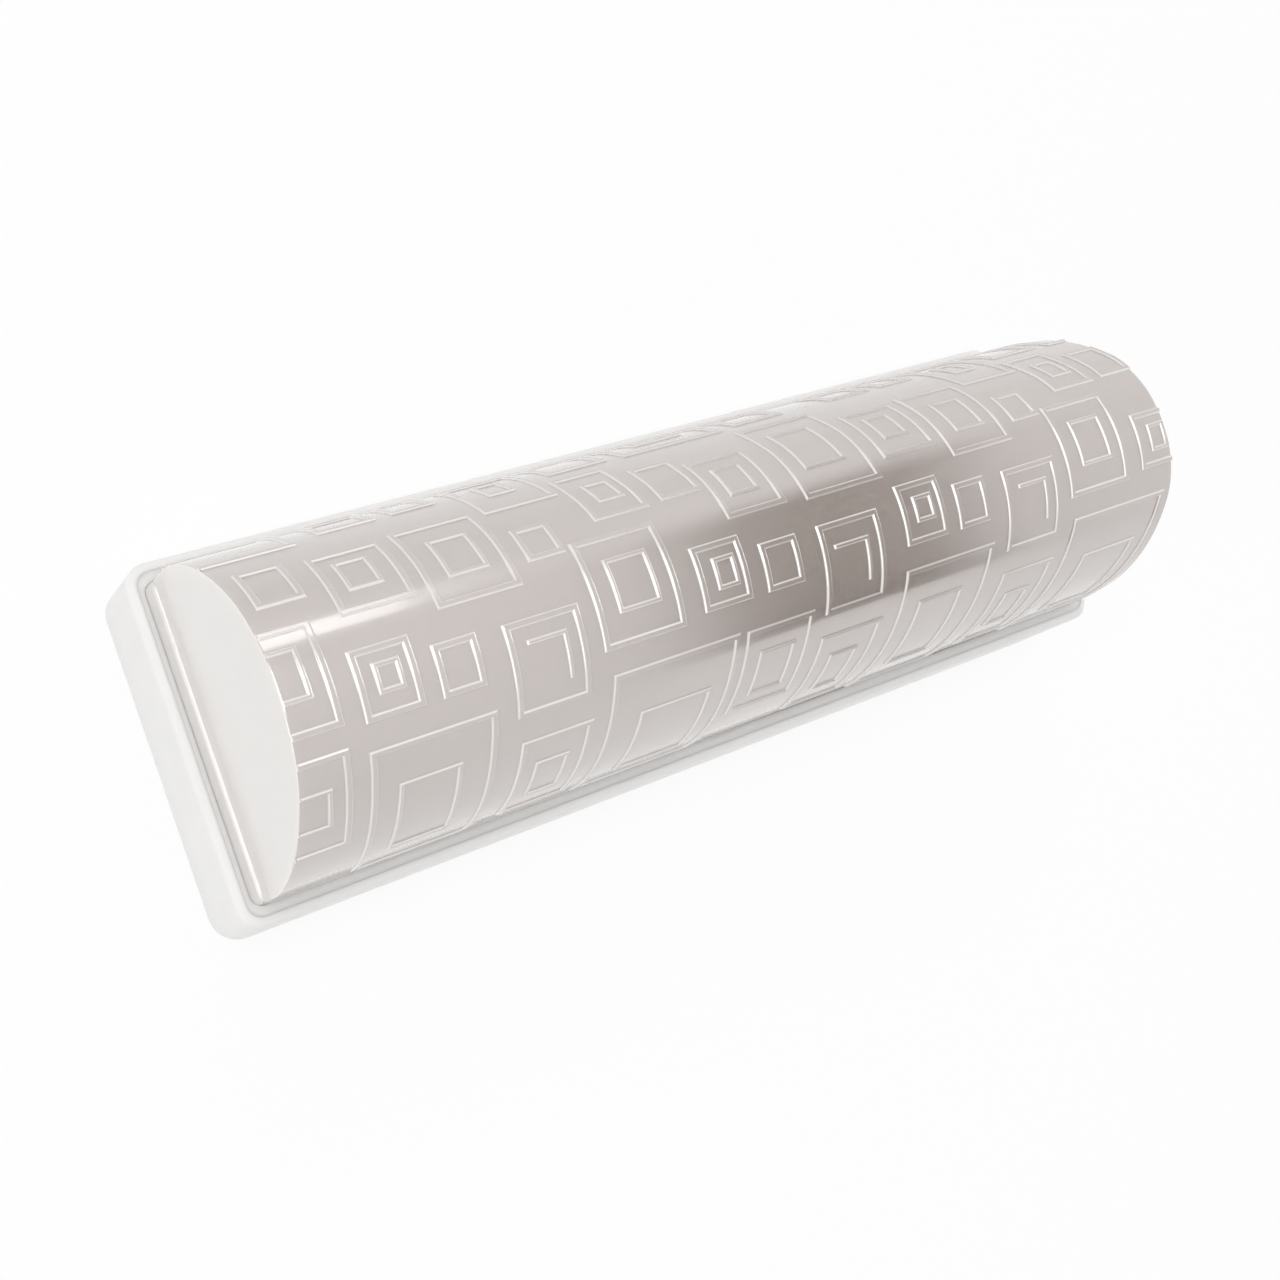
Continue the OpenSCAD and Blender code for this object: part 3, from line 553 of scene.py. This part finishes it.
def add_band(shell):
    """The band round the foot: a flange in the tray's rim, a steep wall and a rounded shoulder."""
    # each row: in along X, in along Y, height, tilt of the normal
    profile = [
        (0, 0, SKIRT_Z, 0), (0, 0, FLANGE_Z, 0),
        (-FLANGE, 0, FLANGE_Z, -90), (-FLANGE, 0, FLANGE_Z + 1, 0),
        (0.15 - FLANGE, 0, FLANGE_Z + 1.4, 40), (0.3 - FLANGE, 0, FLANGE_Z + 1.8, WALL_TILT),
        (0, 0, BAND_Z - SHOULDER, WALL_TILT),
    ]
    for tilt in range(15, 91, 15):
        drawn_in = 1 - math.cos(math.radians(tilt))
        rise = SHOULDER * math.sin(math.radians(tilt))
        profile.append(((BAND_X - HALF_X) * drawn_in, RIB_H * drawn_in, BAND_Z - SHOULDER + rise, tilt))
    profile.append((BAND_X - HALF_X, RIB_H, BAND_Z, -90))
    rings = []
    for k, (in_x, in_y, z, tilt) in enumerate(profile):
        ring = band_ring(in_x, in_y, 0.05 if k == len(profile) - 1 else BAND_R)
        rings.append(([(x, y, z) for x, y, _, _ in ring], tilted(ring, tilt)))
    add_rings(shell, rings)


def add_inside(shell):
    """The hollow inside, its ends and the narrow edge under the foot."""
    foot_t_in = side_t + SPRING_Z - SKIRT_Z
    rows, steps = [], 60
    for side in (-1, 1):
        row, row_n = [], []
        for i in range(steps + 1):
            (y, z), (ny, nz) = skin(foot_t_in * (2 * i / steps - 1), RIB_H + SHELL)
            row.append((side * (end_x(z) - SHELL), y, z))
            row_n.append(Vector((0, -ny, -nz)))
        rows.append((shell.add(row), row_n))
    (left, left_n), (right, right_n) = rows
    shell.strip(left, right, left_n, right_n)
    shell.face(reversed(left), [Vector((1, 0, 0))] * len(left))
    shell.face(right, [Vector((-1, 0, 0))] * len(right))
    outer = shell.add([(x, y, SKIRT_Z) for x, y, _, _ in band_ring(0, 0, BAND_R)])
    inner = shell.add([(x, y, SKIRT_Z) for x, y, _, _ in band_ring(SHELL + 0.8, SHELL + RIB_H, 1)])
    down = [Vector((0, 0, -1))] * len(outer)
    shell.strip(inner, outer, down, down)


def rim_slope():
    """The inner slope of the tray's rim, down to the thin joint round the diffuser."""
    shell = Shell()
    rings = []
    joint = -FLANGE - JOINT
    # each row: in along X, in along Y, corner radius, height at the ends and the sides, tilt of the normal
    for in_x, in_y, radius, z_end, z_side, tilt in (
        (-SLOPE_W, -SLOPE_W, LIP_R, SLOPE_FOOT_Z, SLOPE_FOOT_Z, 0),
        (-SLOPE_W - SLOPE_LIP, -SLOPE_W - SLOPE_LIP, LIP_R, 31.3, 31.35, 80),
        (joint - 0.3, -JOINT - 0.3, BAND_R + 0.3, 30.7, 31.3, 90),
        (joint, -JOINT, BAND_R, 30.5, 31.2, 90),
        (joint, -JOINT, BAND_R, SLOPE_FOOT_Z, SLOPE_FOOT_Z, 0),
        (-SLOPE_W, -SLOPE_W, LIP_R, SLOPE_FOOT_Z, SLOPE_FOOT_Z, -90),
    ):
        ring = band_ring(in_x, in_y, radius)
        points = [(x, y, z_end * u * u + z_side * v * v) for x, y, u, v in ring]
        rings.append((points, tilted(ring, tilt)))
    add_rings(shell, rings)
    return shell.mesh("rim_slope")


slope_obj = new_object("rim_slope", rim_slope())
slope_obj.data.materials.append(MATERIALS["white_plastic"])
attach(slope_obj, "tray")

cover_shell = Shell()
for end in add_skin(cover_shell):
    add_end(cover_shell, *end)
add_band(cover_shell)
add_inside(cover_shell)
cover = new_object("cover_shell", cover_shell.mesh("cover_shell"))
cover.data.materials.append(MATERIALS["diffuser_plastic"])
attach(cover, "cover")
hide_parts("diffuser")

# ---------------------------------------------------------------- light and stage

# The world lights the object as a plain tent, dimmer on the left, between these directions along X.
TENT_X = (0.0, 0.3)
TENT_LEFT, TENT_RIGHT = 0.5, 0.98
# It has one dark opening, between these directions along X and below these along Y.
OPENING_FROM_X, OPENING_TO_X = (0.46, 0.56), (0.62, 0.68)
OPENING_TO_Y = (0.38, 0.68)
# Share of the floor's own shading that the white backdrop takes over.
FLOOR_GLOW = 0.85


def build_world():
    """A tent for the diffuse light. Camera, glossy and transmission rays see a white backdrop.

    The dark opening shows in the tent and in reflections, and not to the camera.
    """
    world = bpy.data.worlds.new("world")
    scene.world = world
    world.use_nodes = True
    n = Nodes(world)
    tent = n.tree.nodes["Background"]
    tent.inputs["Color"].default_value = (1, 0.995, 0.99, 1)
    sky = n.add("ShaderNodeSeparateXYZ")
    n.join(n.add("ShaderNodeTexCoord").outputs["Generated"], sky.inputs[0])
    side, depth = sky.outputs["X"], sky.outputs["Y"]
    across = n.math("SUBTRACT", 1, n.rise(side, *OPENING_TO_X))
    opening = n.math("MULTIPLY", n.rise(side, *OPENING_FROM_X), across)
    opening = n.math("MULTIPLY", opening, n.math("SUBTRACT", 1, n.rise(depth, *OPENING_TO_Y)))
    level = n.math("MULTIPLY_ADD", n.rise(side, *TENT_X), TENT_RIGHT - TENT_LEFT, TENT_LEFT)
    n.join(n.math("MULTIPLY", level, n.math("SUBTRACT", 1, opening)), tent.inputs["Strength"])
    camera_ray, backdrop_ray = n.backdrop_rays()
    dark = n.math("MULTIPLY", opening, n.math("SUBTRACT", 1, camera_ray))
    white = n.add("ShaderNodeBackground", Color=(1, 1, 1, 1))
    n.join(n.math("SUBTRACT", 1, dark), white.inputs["Strength"])
    both = n.blend(backdrop_ray, tent.outputs[0], white.outputs[0])
    n.join(both, n.tree.nodes["World Output"].inputs["Surface"])


def lamp(name, place, aim, size, watts):
    """A soft rectangular lamp that points at aim."""
    data = bpy.data.lights.new(name, "AREA")
    data.shape = "RECTANGLE"
    data.size, data.size_y = size
    data.energy = watts
    obj = bpy.data.objects.new(name, data)
    obj.location = place
    obj.rotation_euler = (Vector(aim) - Vector(place)).to_track_quat("-Z", "Y").to_euler()
    scene.collection.objects.link(obj)


def build_floor():
    """A pale floor that keeps the object's shadow and shows as nearly white."""
    bpy.ops.mesh.primitive_plane_add(size=6, location=(0, 0, -0.0002))
    floor = bpy.context.object
    floor.name = "floor"
    mat = bpy.data.materials.new("floor")
    mat.use_nodes = True
    n = Nodes(mat)
    n.bsdf.inputs["Base Color"].default_value = (0.9, 0.9, 0.9, 1)
    n.bsdf.inputs["Roughness"].default_value = 0.9
    share = n.math("MULTIPLY", n.backdrop_rays()[1], FLOOR_GLOW)
    glow = n.add("ShaderNodeEmission", Strength=1)
    both = n.blend(share, n.bsdf.outputs[0], glow.outputs[0])
    n.join(both, n.tree.nodes["Material Output"].inputs["Surface"])
    floor.data.materials.append(mat)


build_world()
lamp("key_left", (-0.5, 0.1, 1.5), (0, 0, 0.03), (1.0, 1.0), 8.5)
lamp("left_end", (-1.6, -0.3, 0.5), (0, 0, 0.03), (1.2, 0.8), 5.5)
lamp("far_side", (0.1, 1.1, 1.15), (0, 0, 0.05), (0.7, 0.35), 1.1)
lamp("right_end", (1.5, 0.1, 0.55), (0, 0, 0.05), (0.6, 0.35), 3)
build_floor()
